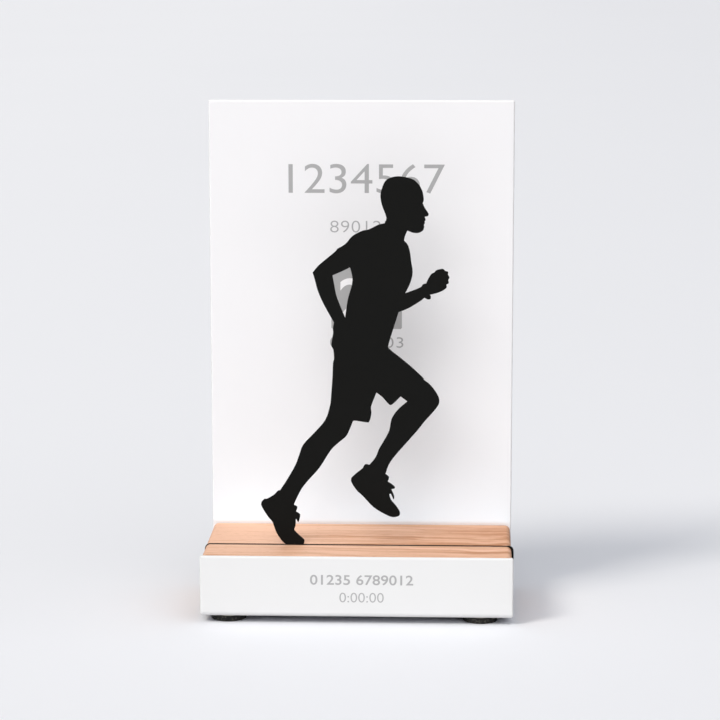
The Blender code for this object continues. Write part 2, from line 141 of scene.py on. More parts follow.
# Fasteners; a recess is its arm, half its width, and its depth
FLOOR_SHANK_RADIUS = 1.75 * MM
FLOOR_HEAD_HEIGHT = 2.1 * MM
FLOOR_PITCH = 1.3 * MM
FLOOR_RECESS = (1.7 * MM, 0.45 * MM, 1.3 * MM)
CLAMP_SHANK_RADIUS = 2.0 * MM
CLAMP_HEAD_DEPTH = 2.6 * MM
CLAMP_PITCH = 1.8 * MM
CLAMP_RECESS = (2.2 * MM, 0.5 * MM, 1.8 * MM)
RECESS_TAPER = 0.62
SCREW_SEGMENTS = 48
THREAD_SEGMENTS = 20
TIP_LENGTH = 3.0 * MM
TIP_BLUNT = 0.3 * MM
THREAD_RUNOUT = 0.4 * MM
FLUTES = 12
FLUTE_DEPTH = 0.25 * MM
DOWEL_CHAMFER = 0.6 * MM

# Camera
CAMERA_PLACE = Vector((49.7, -1250.3, 341.9)) * MM
CAMERA_PITCH = 9.90                 # degrees below level
CAMERA_YAW = 2.25
CAMERA_ROLL = -0.05
CAMERA_LENS = 130.0

# Studio
FLOOR_HALF_SIZE = 14.0              # metres
GLOW_HEIGHT = 0.8 * MM              # of the glow light over the wood
GLOW_DEPTH = 0.98                   # as a share of the rear block's depth


# ---------------------------------------------------------------- shader expressions

class Signal:
    """A shader socket that can be used like a number in an expression."""

    def __init__(self, finish, socket):
        self.finish = finish
        self.socket = socket

    def maths(self, operation, *values):
        return self.finish.node("Math", {"operation": operation}, dict(enumerate(values)))

    def __add__(self, other):
        return self.maths("ADD", self, other)

    def __radd__(self, other):
        return self.maths("ADD", other, self)

    def __sub__(self, other):
        return self.maths("SUBTRACT", self, other)

    def __rsub__(self, other):
        return self.maths("SUBTRACT", other, self)

    def __mul__(self, other):
        return self.maths("MULTIPLY", self, other)

    def __rmul__(self, other):
        return self.maths("MULTIPLY", other, self)

    def __truediv__(self, other):
        return self.maths("DIVIDE", self, other)

    def __pow__(self, other):
        return self.maths("POWER", self, other)


class Finish:
    """A material with one Principled shader, and short ways to add nodes to it."""

    def __init__(self, name, **constants):
        self.material = bpy.data.materials.new(name)
        self.material.use_nodes = True
        self.tree = self.material.node_tree
        self.shader = self.tree.nodes["Principled BSDF"]
        for socket, value in constants.items():
            self.shader.inputs[socket.replace("_", " ")].default_value = value

    def node(self, kind, settings, inputs, output=0):
        made = self.tree.nodes.new("ShaderNode" + kind)
        for name, value in settings.items():
            if name == "stops":
                self.fill_ramp(made.color_ramp, value)
            else:
                setattr(made, name, value)
        for name, value in inputs.items():
            if isinstance(value, Signal):
                self.tree.links.new(value.socket, made.inputs[name])
            else:
                made.inputs[name].default_value = value
        return Signal(self, made.outputs[output])

    @staticmethod
    def fill_ramp(ramp, stops):
        while len(ramp.elements) < len(stops):
            ramp.elements.new(0.5)
        for element, (place, level) in zip(ramp.elements, stops):
            element.position = place
            element.color = (level, level, level, 1.0)

    def set(self, socket, signal):
        self.tree.links.new(signal.socket, self.shader.inputs[socket])

    def place(self, scale=(1, 1, 1), shift=(0, 0, 0), start=None):
        """Object coordinates, or others to start from, stretched and shifted."""
        if start is None:
            start = self.node("TexCoord", {}, {}, output="Object")
        return self.node("Mapping", {}, {"Vector": start, "Scale": scale, "Location": shift})

    def wavy(self, per_metre, amount):
        """Object coordinates that wander in Y and Z along the object."""
        wander = (self.noise(self.place((1, 0.25, 0.25)), per_metre, detail=2.0) - 0.5) * amount
        offset = self.node("CombineXYZ", {}, {"Y": wander, "Z": wander})
        return self.node("VectorMath", {"operation": "ADD"}, {0: self.place(), 1: offset})

    def noise(self, where, per_metre, detail=3.0, roughness=0.5):
        return self.node("TexNoise", {}, {
            "Vector": where, "Scale": per_metre, "Detail": detail, "Roughness": roughness})

    def ramp(self, value, *stops):
        return self.node("ValToRGB", {"stops": stops}, {"Fac": value})

    def blend(self, share, first, second):
        """Mix two colours; each is a signal or three numbers."""
        return self.node(
            "Mix", {"data_type": "RGBA"},
            {0: share, 6: opaque(first), 7: opaque(second)}, output=2)

    def bump(self, height, distance, strength=1.0):
        self.set("Normal", self.node("Bump", {}, {
            "Height": height, "Distance": distance, "Strength": strength}))


def opaque(colour):
    return colour if isinstance(colour, Signal) else (*colour, 1.0)


# ---------------------------------------------------------------- finishes

def powder_coat(name, colour, worn, roughness, grain, depth, gloss=0.5, lip=None):
    """Baked powder: a fine orange peel, with a little mottling in colour and sheen.

    grain is how many bumps a metre holds, and depth is their height. lip is a darker tone
    of the coat painted on the front lip as painted shade.
    """
    finish = Finish(name, Specular_IOR_Level=gloss)
    where = finish.place()
    peel = finish.noise(where, grain, detail=4.0, roughness=0.55)
    clouds = finish.noise(where, 35.0, detail=3.0)
    specks = finish.ramp(finish.noise(where, grain * 1.7, detail=2.0), (0.70, 0.0), (0.78, 1.0))
    coat = finish.blend(clouds * 0.5 + specks * 0.5, colour, worn)
    # painted shade: the front lip's coat is made darker than the panel's
    if lip is not None:
        depth_y = finish.node("SeparateXYZ", {}, {"Vector": where}, output="Y")
        lip_shade_share = finish.node("MapRange", {}, {
            "Value": depth_y, "From Min": LIP_BACK, "From Max": LIP_BACK - LIP_BLEND})
        coat = finish.blend(lip_shade_share, coat, lip)
    finish.set("Base Color", coat)
    finish.set("Roughness", roughness + 0.10 * clouds + 0.05 * peel)
    finish.bump(peel + 0.6 * specks, depth)
    return finish.material


def beech(name, shift, start, along):
    """Solid wood: growth rings round a pith under the base, fibres along X, and ray flecks.

    start is how dark the wood is in its middle, and along how much painted shade darkens it
    per metre towards +X.
    The ends show rings and pores in place of the long grain.
    """
    finish = Finish(name, Specular_IOR_Level=0.2)
    grown = finish.wavy(26.0, 7.0 * MM)
    stretched = finish.place((0.10, 1, 1), shift, grown)
    drift = finish.noise(stretched, 38.0, detail=2.0)
    across = finish.node("SeparateXYZ", {}, {"Vector": stretched}, output="Y") - PITH_Y
    above = finish.node("SeparateXYZ", {}, {"Vector": stretched}, output="Z") - PITH_Z
    radius = (across * across + above * above) ** 0.5 + RING_DRIFT * drift
    phase = finish.node("Math", {"operation": "FRACT"}, {0: radius / RING_SPACING})
    ring = finish.ramp(phase, (0.0, 0.15), (0.60, 0.35), (0.90, 1.0), (1.0, 0.15))
    threads = finish.noise(
        finish.place((0.025, 1, 1), shift, grown), 1150.0, detail=4.0, roughness=0.7)
    streaks = finish.noise(
        finish.place((0.035, 1, 1), shift, grown), 300.0, detail=4.0, roughness=0.65)
    bands = finish.noise(
        finish.place((0.10, 1, 1), shift, grown), 110.0, detail=3.0, roughness=0.6)
    fine_lines = finish.ramp(
        finish.noise(finish.place((0.03, 1, 1), shift, grown), 290.0, detail=3.0),
        (0.55, 0.0), (0.63, 1.0))
    flecks = finish.ramp(
        finish.noise(finish.place((0.16, 1, 1), shift), 1900.0, detail=1.0),
        (0.62, 0.0), (0.70, 1.0))
    length = finish.node("SeparateXYZ", {}, {"Vector": finish.place()}, output="X")
    grain = (1.5 * (streaks - 0.5) + 1.2 * (bands - 0.5) + 0.6 * (threads - 0.5)
             + 0.45 * (ring - 0.35) + 0.38 * fine_lines)
    facing = finish.node("TexCoord", {}, {}, output="Normal")
    sideways = finish.node("SeparateXYZ", {}, {"Vector": facing}, output="X")
    sawn_end = finish.ramp(sideways * sideways, (0.35, 0.0), (0.75, 1.0))
    pores = finish.noise(finish.place(), 3800.0, detail=2.0)
    end_grain = 0.45 + 0.7 * (ring - 0.35) + 0.9 * (pores - 0.5) + 0.6 * (bands - 0.5)
    # along * length is painted shade: the wood darkens towards +X
    tone = start + along * length + grain * (1.0 - sawn_end) + end_grain * sawn_end
    shade = finish.blend(tone, (0.79, 0.475, 0.32), (0.47, 0.195, 0.078))
    finish.set("Base Color", finish.blend(0.25 * flecks, shade, (0.36, 0.16, 0.08)))
    finish.set("Roughness", 0.46 + 0.16 * threads + 0.06 * flecks)
    finish.bump(threads + 0.5 * streaks - 0.5 * flecks, 0.05 * MM, strength=0.5)
    return finish.material


def needle_felt(name):
    """Matted fibres: dark, with paler ones caught on the surface."""
    finish = Finish(name, Sheen_Weight=0.08, Sheen_Roughness=0.6, Specular_IOR_Level=0.2)
    where = finish.place()
    mat = finish.noise(where, 900.0, detail=5.0, roughness=0.75)
    weave = finish.node(
        "TexVoronoi", {"feature": "DISTANCE_TO_EDGE"}, {"Vector": where, "Scale": 1300.0})
    pale = finish.ramp(finish.noise(where, 1100.0, detail=3.0, roughness=0.75),
                       (0.56, 0.0), (0.66, 1.0))
    finish.set("Base Color", finish.blend(pale, (0.008, 0.008, 0.008), (0.24, 0.22, 0.18)))
    finish.set("Roughness", 0.86 + 0.12 * mat)
    finish.bump(mat + weave, 0.25 * MM)
    return finish.material


def zinc_plate(name):
    finish = Finish(name, Metallic=1.0)
    where = finish.place()
    turned = finish.noise(finish.place((1, 1, 9)), 700.0, detail=3.0)
    bloom = finish.noise(where, 320.0, detail=3.0)
    finish.set("Base Color", finish.blend(bloom, (0.66, 0.66, 0.64), (0.50, 0.51, 0.52)))
    finish.set("Roughness", 0.22 + 0.18 * bloom + 0.08 * turned)
    finish.bump(turned, 0.012 * MM)
    return finish.material


def screen_ink(name, colour):
    """A printed film: flat, a touch uneven where the mesh laid it down."""
    finish = Finish(name)
    where = finish.place()
    mesh = finish.noise(where, 1400.0, detail=2.0)
    pool = finish.noise(where, 160.0, detail=2.0)
    thin = tuple(min(1.0, 1.12 * part) for part in colour)
    finish.set("Base Color", finish.blend(0.5 * mesh + 0.3 * pool, colour, thin))
    finish.set("Roughness", 0.50 + 0.12 * mesh)
    finish.bump(mesh, 0.01 * MM)
    return finish.material


def adhesive_film(name):
    finish = Finish(name)
    where = finish.place()
    haze = finish.noise(where, 500.0)
    finish.set("Base Color", finish.blend(haze, (0.55, 0.52, 0.42), (0.42, 0.40, 0.34)))
    finish.set("Roughness", 0.35 + 0.2 * haze)
    return finish.material


def studio_floor(name):
    finish = Finish(name, Specular_IOR_Level=0.2)
    where = finish.place()
    tone = finish.noise(where, 1.6, detail=2.0)
    tooth = finish.noise(where, 420.0, detail=3.0)
    side = finish.node("SeparateXYZ", {}, {"Vector": where}, output="X")
    # painted shade: the floor's colour darkens towards +X
    shade = finish.node("MapRange", {"interpolation_type": "SMOOTHSTEP"}, {
        "Value": side, "From Min": -0.9, "From Max": 0.9})
    finish.set("Base Color", finish.blend(
        0.85 * shade + 0.15 * tone, (0.855, 0.872, 0.925), (0.785, 0.803, 0.860)))
    finish.set("Roughness", 0.82 + 0.1 * tooth)
    finish.bump(tooth, 0.02 * MM)
    return finish.material


# ---------------------------------------------------------------- making pieces

def new_piece(name, bm, material, sharp=35.0):
    """Turn a bmesh into a finished, smooth-shaded piece."""
    mesh = bpy.data.meshes.new(name)
    bm.to_mesh(mesh)
    bm.free()
    return dress(name, mesh, material, sharp)


def dress(name, mesh, material, sharp=35.0):
    """Make a piece from a mesh, smooth up to the angle sharp, in degrees."""
    mesh.materials.clear()
    mesh.materials.append(material)
    mesh.shade_smooth()
    mesh.set_sharp_from_angle(angle=math.radians(sharp))
    piece = bpy.data.objects.new(name, mesh)
    bpy.context.scene.collection.objects.link(piece)
    even = piece.modifiers.new("even_shading", "WEIGHTED_NORMAL")
    even.keep_sharp = True
    return piece


def cut(piece, cutter_mesh):
    """Cut a mesh of closed bodies out of a piece, and leave the result in the piece's mesh."""
    cutter = bpy.data.objects.new("cutter", cutter_mesh)
    bpy.context.scene.collection.objects.link(cutter)
    boolean = piece.modifiers.new("cut", "BOOLEAN")
    boolean.operation = "DIFFERENCE"
    boolean.solver = "EXACT"
    boolean.object = cutter
    piece.modifiers.move(len(piece.modifiers) - 1, 0)
    bpy.context.view_layer.objects.active = piece
    bpy.ops.object.modifier_apply(modifier="cut")
    bpy.data.objects.remove(cutter)
    bpy.data.meshes.remove(cutter_mesh)


def closed_lathe(bm, profile, segments):
    """Spin (radius, height) points that start and end on the Z axis into a closed body."""
    points = [bm.verts.new((radius, 0, height)) for radius, height in profile]
    edges = [bm.edges.new(pair) for pair in zip(points, points[1:])]
    bmesh.ops.spin(
        bm, geom=points + edges, cent=(0, 0, 0), axis=(0, 0, 1), dvec=(0, 0, 0),
        angle=math.tau, steps=segments, use_merge=True, use_duplicate=False)
    bmesh.ops.remove_doubles(bm, verts=bm.verts, dist=MERGE_DISTANCE)
    bmesh.ops.recalc_face_normals(bm, faces=bm.faces)


def square_edges(bm):
    return [
        edge for edge in bm.edges
        if len(edge.link_faces) == 2 and edge.calc_face_angle(0.0) > math.radians(SQUARE_EDGE)]


def of_kind(parts, kind):
    return [part for part in parts if isinstance(part, kind)]


def nodes_named(start):
    return [name for name in sorted(frame["nodes"]) if name.startswith(start)]


def ease(bm, edges, width, steps):
    """Round off edges."""
    bmesh.ops.bevel(
        bm, geom=edges, offset=width, offset_type="OFFSET", affect="EDGES", segments=steps,
        profile=0.5, material=-1, clamp_overlap=False)


def eased_copy(name, node, material, width):
    """The CAD node's own shape, merged, with its sharp arrises broken."""
    bm = bmesh.new()
    bm.from_mesh(frame["nodes"][node].data)
    bmesh.ops.remove_doubles(bm, verts=bm.verts, dist=MERGE_DISTANCE)
    bmesh.ops.dissolve_limit(
        bm, angle_limit=math.radians(FLAT_ENOUGH), verts=bm.verts, edges=bm.edges,
        use_dissolve_boundaries=False)
    ease(bm, square_edges(bm), width, ARRIS_STEPS)
    piece = new_piece(name, bm, material)
    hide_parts(node)
    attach(piece, BODY)


def middle(node):
    low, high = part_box(node)
    return (low + high) / 2


# ---------------------------------------------------------------- the folded sheet

def fold(centre_y, centre_z, radius, start, end):
    """Points on one face of a fold, between two angles in degrees."""
    steps = range(FOLD_STEPS + 1)
    angles = [math.radians(start + (end - start) * step / FOLD_STEPS) for step in steps]
    return [(centre_y + radius * math.cos(a), centre_z + radius * math.sin(a)) for a in angles]


def sheet_side(low, high, lip_top):
    """The sheet's outline seen from its left end, as (y, z) points."""
    outer = FOLD_RADIUS + SHEET_THICKNESS
    front = low.y + INK_THICKNESS
    fold_z = low.z + outer
    front_y = front + outer
    back_y = high.y - outer
    return (
        [(front, lip_top)]
        + fold(front_y, fold_z, outer, 180, 270)
        + fold(back_y, fold_z, outer, 270, 360)
        + [(high.y, high.z), (high.y - SHEET_THICKNESS, high.z)]
        + fold(back_y, fold_z, FOLD_RADIUS, 360, 270)
        + fold(front_y, fold_z, FOLD_RADIUS, 270, 180)
        + [(front + SHEET_THICKNESS, lip_top)])


def coated_sheet(material):
    low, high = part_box("folded_sheet")
    lip_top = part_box("front_wood_block")[1].z
    bm = bmesh.new()
    corners = [bm.verts.new((low.x, y, z)) for y, z in sheet_side(low, high, lip_top)]
    side = bm.faces.new(corners)
    grown = bmesh.ops.extrude_face_region(bm, geom=[side])["geom"]
    far = of_kind(grown, bmesh.types.BMVert)
    bmesh.ops.translate(bm, verts=far, vec=(high.x - low.x, 0, 0))
    bmesh.ops.recalc_face_normals(bm, faces=bm.faces)
    ease(bm, square_edges(bm), SHEET_EDGE_RADIUS, SHEET_EDGE_STEPS)
    piece = new_piece("coated_sheet", bm, material)
    cut(piece, screw_holes(low.z))
    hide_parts("folded_sheet")
    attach(piece, BODY)


def screw_holes(floor_z):
    """Cutters for the floor screws' holes."""
    bm = bmesh.new()
    depth = 3 * SHEET_THICKNESS
    shank = FLOOR_SHANK_RADIUS + HOLE_CLEARANCE
    for node in nodes_named("floor_screw"):
        spot = middle(node)
        bmesh.ops.create_cone(
            bm, cap_ends=True, segments=HOLE_SEGMENTS, radius1=shank, radius2=shank,
            depth=depth, matrix=Matrix.Translation((spot.x, spot.y, floor_z)))
    mesh = bpy.data.meshes.new("screw_holes")
    bm.to_mesh(mesh)
    bm.free()
    return mesh


# ---------------------------------------------------------------- prints

def fit_print(mesh, size, centre, depth):
    """Scale a flat mesh in XY to a size, stand it up to face -Y, and put it in place."""
    xs = [vertex.co.x for vertex in mesh.vertices]
    ys = [vertex.co.y for vertex in mesh.vertices]
    zs = [vertex.co.z for vertex in mesh.vertices]
    scale = Matrix.Diagonal((
        size[0] / (max(xs) - min(xs)), size[1] / (max(ys) - min(ys)),
        depth / (max(zs) - min(zs)), 1))
    origin = Matrix.Translation((
        -(max(xs) + min(xs)) / 2, -(max(ys) + min(ys)) / 2, -min(zs)))
    stand = Matrix.Rotation(math.radians(90), 4, "X")
    mesh.transform(Matrix.Translation(centre) @ stand @ scale @ origin)


def number_print(name, digits, size, centre, material, spacing=1.0, weight=0.0):
    """Plain digits as a thin printed film, resting on the surface behind them."""
    curve = bpy.data.curves.new(name, "FONT")
    curve.body = digits
    curve.space_character = spacing
    curve.offset = weight
    curve.extrude = DIGIT_DEPTH
    curve.resolution_u = DIGIT_STEPS
    source = bpy.data.objects.new(name + "_outline", curve)
    bpy.context.scene.collection.objects.link(source)
    bpy.context.view_layer.update()
    shown = source.evaluated_get(bpy.context.evaluated_depsgraph_get())
    mesh = bpy.data.meshes.new_from_object(shown)
    bpy.data.objects.remove(source)
    bpy.data.curves.remove(curve)
    merged = bmesh.new()
    merged.from_mesh(mesh)
    bmesh.ops.remove_doubles(merged, verts=merged.verts, dist=DIGIT_MERGE)
    merged.to_mesh(mesh)
    merged.free()
    fit_print(mesh, size, centre, INK_THICKNESS)
    piece = dress(name, mesh, material)
    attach(piece, BODY)


def tile_print(name, size, centre, material):
    """A printed block of one tone, with slightly rounded corners."""
    bm = bmesh.new()
    bmesh.ops.create_cube(
        bm, size=1.0, matrix=Matrix.Diagonal((*size, TILE_INK_THICKNESS, 1)))
    corners = [edge for edge in bm.edges if edge.verts[0].co.z != edge.verts[1].co.z]
    bmesh.ops.bevel(
        bm, geom=corners, offset=TILE_CORNER, segments=TILE_CORNER_STEPS, affect="EDGES")
    mesh = bpy.data.meshes.new(name)
    bm.to_mesh(mesh)
    bm.free()
    fit_print(mesh, size, centre, TILE_INK_THICKNESS)
    piece = dress(name, mesh, material)
    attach(piece, BODY)


def prints(grey, white):
    """The rows of numbers on the panel, its tile, and the two rows on the lip."""
    wood_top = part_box("front_wood_block")[1].z
    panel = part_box("folded_sheet")[1].y - SHEET_THICKNESS
    lip = cad_low.y + INK_THICKNESS

    def on_panel(height):
        return Vector((PRINT_X, panel, wood_top + height))

    def on_lip(height):
        return Vector((PRINT_X, lip, wood_top + height))

    number_print("title_number", "1234567", TITLE_SIZE, on_panel(TITLE_Z), grey, weight=-0.004)
    number_print(
        "subtitle_number", "8901234", SUBTITLE_SIZE, on_panel(SUBTITLE_Z), grey,
        spacing=1.05, weight=-0.012)
    tile_print("number_tile", TILE_SIZE, on_panel(TILE_Z), grey)
    number_print(
        "tile_number", "20", TILE_NUMBER_SIZE, on_panel(TILE_Z), white, weight=0.01)
    number_print(
        "date_numbers", "01 02 03", DATE_SIZE, on_panel(DATE_Z), grey, spacing=1.1,
        weight=-0.006)
    number_print(
        "name_numbers", "01235 6789012", NAME_SIZE, on_lip(NAME_Z), grey, spacing=1.02,
        weight=0.012)
    number_print("time_numbers", "0:00:00", TIME_SIZE, on_lip(TIME_Z), grey, weight=-0.006)


# ---------------------------------------------------------------- felt pads

def pad_rim(radius, height, start, first_step):
    """A quarter round of the pad's edge, upwards from an angle in degrees."""
    steps = range(first_step, FELT_EDGE_STEPS + 1)
    angles = [math.radians(start + 90 * step / FELT_EDGE_STEPS) for step in steps]
    return [
        (radius - FELT_EDGE + FELT_EDGE * math.cos(a), height + FELT_EDGE * math.sin(a))
        for a in angles]


def felt_body(low, high, radius, seed):
    """A pad round the Z axis, with a lumpy side."""
    side = high - low - 2 * FELT_EDGE
    profile = [(share * radius, low) for share in (0, 0.35, 0.7, 0.9)]
    profile += pad_rim(radius, low + FELT_EDGE, -90, 0)
    profile += [(radius, low + FELT_EDGE + side * share) for share in (0.33, 0.67, 1.0)]
    profile += pad_rim(radius, high - FELT_EDGE, 0, 1)
    profile += [(0.6 * radius, high), (0, high)]
    bm = bmesh.new()
    closed_lathe(bm, profile, PAD_SEGMENTS)
    for vert in bm.verts:
        outward = Vector((vert.co.x, vert.co.y, 0))
        if low < vert.co.z < high and outward.length > 0:
            lump = noise.noise(vert.co * FELT_LUMPS_PER_METRE + Vector((seed,) * 3))
            vert.co -= outward.normalized() * FELT_LUMP * (0.5 + 0.5 * lump)
    return bm


def adhesive_disc(base, radius):
    """The thin film between a pad and the sheet, round the Z axis."""
    top = base + FELT_FILM
    soft = FELT_FILM / 4
    bm = bmesh.new()
    closed_lathe(bm, [
        (0, base), (radius - soft, base), (radius, base + soft),
        (radius, top - soft), (radius - soft, top), (0, top)], PAD_SEGMENTS)
    return bm


def felt_pad(node, felt, film, seed):
    low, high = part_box(node)
    centre = middle(node)
    radius = (high.x - low.x) / 2
    bm = felt_body(low.z, high.z, radius, seed)
    bmesh.ops.translate(bm, verts=bm.verts, vec=(centre.x, centre.y, 0))
    fibres(bm, centre, radius, low.z, high.z, seed)
    piece = new_piece(node.replace("felt_pad", "needle_felt"), bm, felt, sharp=60)
    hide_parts(node)
    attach(piece, BODY)
    disc = adhesive_disc(high.z, radius * FILM_RIM)
    bmesh.ops.translate(disc, verts=disc.verts, vec=(centre.x, centre.y, 0))
    backing = new_piece(node.replace("felt_pad", "adhesive"), disc, film)
    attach(backing, BODY)


def fibres(bm, centre, radius, low, high, seed):
    """Loose hairs that stand off the pad's edge."""
    dice = random.Random(seed)
    for _ in range(FIBRES_PER_PAD):
        turn = dice.uniform(0, math.tau)
        height = dice.uniform(low + FIBRE_MARGIN, high - FIBRE_MARGIN)
        length = dice.uniform(*FIBRE_LENGTHS) * MM
        lean = dice.uniform(-FIBRE_LEAN, FIBRE_LEAN)
        climb = dice.uniform(-FIBRE_CLIMB, FIBRE_CLIMB) * MM
        root = radius - FIBRE_ROOT
        hair = bmesh.ops.create_cone(
            bm, cap_ends=True, segments=FIBRE_SIDES, radius1=FIBRE_RADIUS, radius2=FIBRE_RADIUS / 3,
            depth=length)["verts"]
        aim = Vector((math.cos(turn + lean), math.sin(turn + lean), climb / length))
        stand = aim.to_track_quat("Z", "Y").to_matrix().to_4x4()
        foot = Vector((centre.x + root * math.cos(turn), centre.y + root * math.sin(turn), height))
        bmesh.ops.transform(
            bm, verts=hair, matrix=Matrix.Translation(foot) @ stand
            @ Matrix.Translation((0, 0, length / 2)))


# ---------------------------------------------------------------- fasteners

def pan_head(radius, height):
    """A domed head as (radius, height) points, from the middle of its face to the shank."""
    dome = [(radius * math.sin(a), height * 0.55 * (1 - math.cos(a)))
            for a in (math.radians(15 * step) for step in range(7))]
    return dome + [(radius, height * 0.92), (radius * 0.97, height)]


def countersunk_head(radius, depth, shank):
    """A flat head that tapers to the shank, as (radius, height) points."""
    return [(0, 0), (radius * 0.96, 0), (radius, 0.12 * depth), (shank, depth)]


def screw_body(head, shank, length):
    """A turned screw along +Z from its head's face: head, core and point."""
    core = shank * 0.74
    neck = head[-1][1]
    plain = neck + 0.12 * length
    profile = head + [
        (shank, neck), (shank, plain), (core, plain + THREAD_RUNOUT),
        (core, length - TIP_LENGTH), (0.3 * core, length - TIP_BLUNT), (0, length)]
    cleaned = [profile[0]]
    for point in profile[1:]:
        if (Vector(point) - Vector(cleaned[-1])).length > MERGE_DISTANCE:
            cleaned.append(point)
    bm = bmesh.new()
    closed_lathe(bm, cleaned, SCREW_SEGMENTS)
    return bm, plain


def add_thread(bm, shank, start, end, pitch):
    """A V-shaped ridge wound round the core."""
    core = shank * 0.70
    half = pitch * 0.3
    corners = [
        bm.verts.new((core, 0, start - half)), bm.verts.new((shank * 0.99, 0, start)),
        bm.verts.new((core, 0, start + half))]
    ridge = bm.faces.new(corners)
    turns = (end - start) / pitch
    steps = int(turns * THREAD_SEGMENTS)
    before = set(bm.faces)
    made = bmesh.ops.spin(
        bm, geom=[ridge] + list(ridge.edges) + corners, cent=(0, 0, 0), axis=(0, 0, 1),
        dvec=(0, 0, (end - start) / steps), angle=math.tau * turns, steps=steps,
        use_merge=False, use_duplicate=False)
    grown = [face for face in bm.faces if face not in before]
    grown += of_kind(made["geom_last"], bmesh.types.BMFace)
    bmesh.ops.recalc_face_normals(bm, faces=list({*grown, ridge} & set(bm.faces)))


def cross_cutter(arm, half, depth, place):
    """A tapered cross that cuts a driver recess, along +Z from a head's face."""
    bm = bmesh.new()
    corners = [
        (half, half), (half, arm), (-half, arm), (-half, half), (-arm, half), (-arm, -half),
        (-half, -half), (-half, -arm), (half, -arm), (half, -half), (arm, -half), (arm, half)]
    face = bm.faces.new([bm.verts.new((x, y, -depth)) for x, y in corners])
    grown = bmesh.ops.extrude_face_region(bm, geom=[face])["geom"]
    tops = of_kind(grown, bmesh.types.BMVert)
    bmesh.ops.translate(bm, verts=tops, vec=(0, 0, 2 * depth))
    bmesh.ops.scale(bm, verts=tops, vec=(RECESS_TAPER, RECESS_TAPER, 1))
    bmesh.ops.recalc_face_normals(bm, faces=bm.faces)
    bmesh.ops.transform(bm, verts=bm.verts, matrix=place)
    mesh = bpy.data.meshes.new("recess")
    bm.to_mesh(mesh)
    bm.free()
    return mesh


def screw(node, head, shank, length, pitch, recess, place, material):
    bm, thread_start = screw_body(head, shank, length)
    add_thread(bm, shank, thread_start + pitch, length - TIP_LENGTH * 0.6, pitch)
    bmesh.ops.transform(bm, verts=bm.verts, matrix=place)
    piece = new_piece(node.replace("screw", "threaded_screw"), bm, material)
    cut(piece, cross_cutter(*recess, place))
    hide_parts(node)
    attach(piece, BODY)


def fasteners(steel):
    for node in nodes_named("floor_screw"):
        low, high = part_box(node)
        spot = middle(node)
        head = pan_head((high.x - low.x) / 2, FLOOR_HEAD_HEIGHT)
        screw(
            node, head, FLOOR_SHANK_RADIUS, high.z - low.z, FLOOR_PITCH, FLOOR_RECESS,
            Matrix.Translation((spot.x, spot.y, low.z)), steel)
    for node in nodes_named("clamp_screw"):
        low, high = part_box(node)
        spot = middle(node)
        head = countersunk_head((high.x - low.x) / 2, CLAMP_HEAD_DEPTH, CLAMP_SHANK_RADIUS)
        turn = Matrix.Rotation(math.radians(90), 4, "X")
        screw(
            node, head, CLAMP_SHANK_RADIUS, high.y - low.y, CLAMP_PITCH, CLAMP_RECESS,
            Matrix.Translation((spot.x, high.y, spot.z)) @ turn, steel)


def fluted_dowel(node, material):
    """A chamfered dowel with glue grooves along it."""
    low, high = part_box(node)
    spot = middle(node)
    radius = (high.x - low.x) / 2
    length = high.y - low.y
    bm = bmesh.new()
    ring = bmesh.ops.create_circle(bm, cap_ends=True, radius=radius, segments=FLUTES * 4)["verts"]
    for index, vert in enumerate(ring):
        if index % 4 == 0:
            vert.co.xy *= 1 - FLUTE_DEPTH / radius
    end = list(bm.faces)
    waist = 1 - DOWEL_CHAMFER / radius
    barrel = length - 2 * DOWEL_CHAMFER
    bmesh.ops.scale(bm, verts=ring, vec=(waist, waist, 1))
    for rise, spread in ((DOWEL_CHAMFER, 1 / waist), (barrel, 1.0), (DOWEL_CHAMFER, waist)):
        grown = bmesh.ops.extrude_face_region(bm, geom=end)["geom"]
        moved = of_kind(grown, bmesh.types.BMVert)
        end = of_kind(grown, bmesh.types.BMFace)
        bmesh.ops.translate(bm, verts=moved, vec=(0, 0, rise))
        bmesh.ops.scale(bm, verts=moved, vec=(spread, spread, 1))
    loose = [face for face in bm.faces if len(face.verts) > 4 and face not in end]
    bottom = min(face.calc_center_median().z for face in loose)
    inner = [face for face in loose if face.calc_center_median().z > bottom + MERGE_DISTANCE]
    bmesh.ops.delete(bm, geom=inner, context="FACES_ONLY")
    bmesh.ops.recalc_face_normals(bm, faces=bm.faces)
    lay = Matrix.Rotation(math.radians(-90), 4, "X")
    bmesh.ops.transform(
        bm, verts=bm.verts, matrix=Matrix.Translation((spot.x, low.y, spot.z)) @ lay)
    piece = new_piece("fluted_" + node, bm, material)
    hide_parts(node)
    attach(piece, BODY)


# ---------------------------------------------------------------- studio

def floor(material):
    bm = bmesh.new()
    bmesh.ops.create_grid(bm, x_segments=4, y_segments=4, size=FLOOR_HALF_SIZE)
    mesh = bpy.data.meshes.new("studio_floor")
    bm.to_mesh(mesh)
    bm.free()
    mesh.materials.append(material)
    item = bpy.data.objects.new("studio_floor", mesh)
    bpy.context.scene.collection.objects.link(item)


def soft_sun(name, towards_light, strength, spread):
    """A sun seen as wide as spread, in radians, so its shadows are soft."""
    data = bpy.data.lights.new(name, "SUN")
    data.energy = strength
    data.angle = spread
    lamp = bpy.data.objects.new(name, data)
    lamp.rotation_mode = "QUATERNION"
    lamp.rotation_quaternion = Vector(towards_light).to_track_quat("Z", "Y")
    bpy.context.scene.collection.objects.link(lamp)
    return lamp


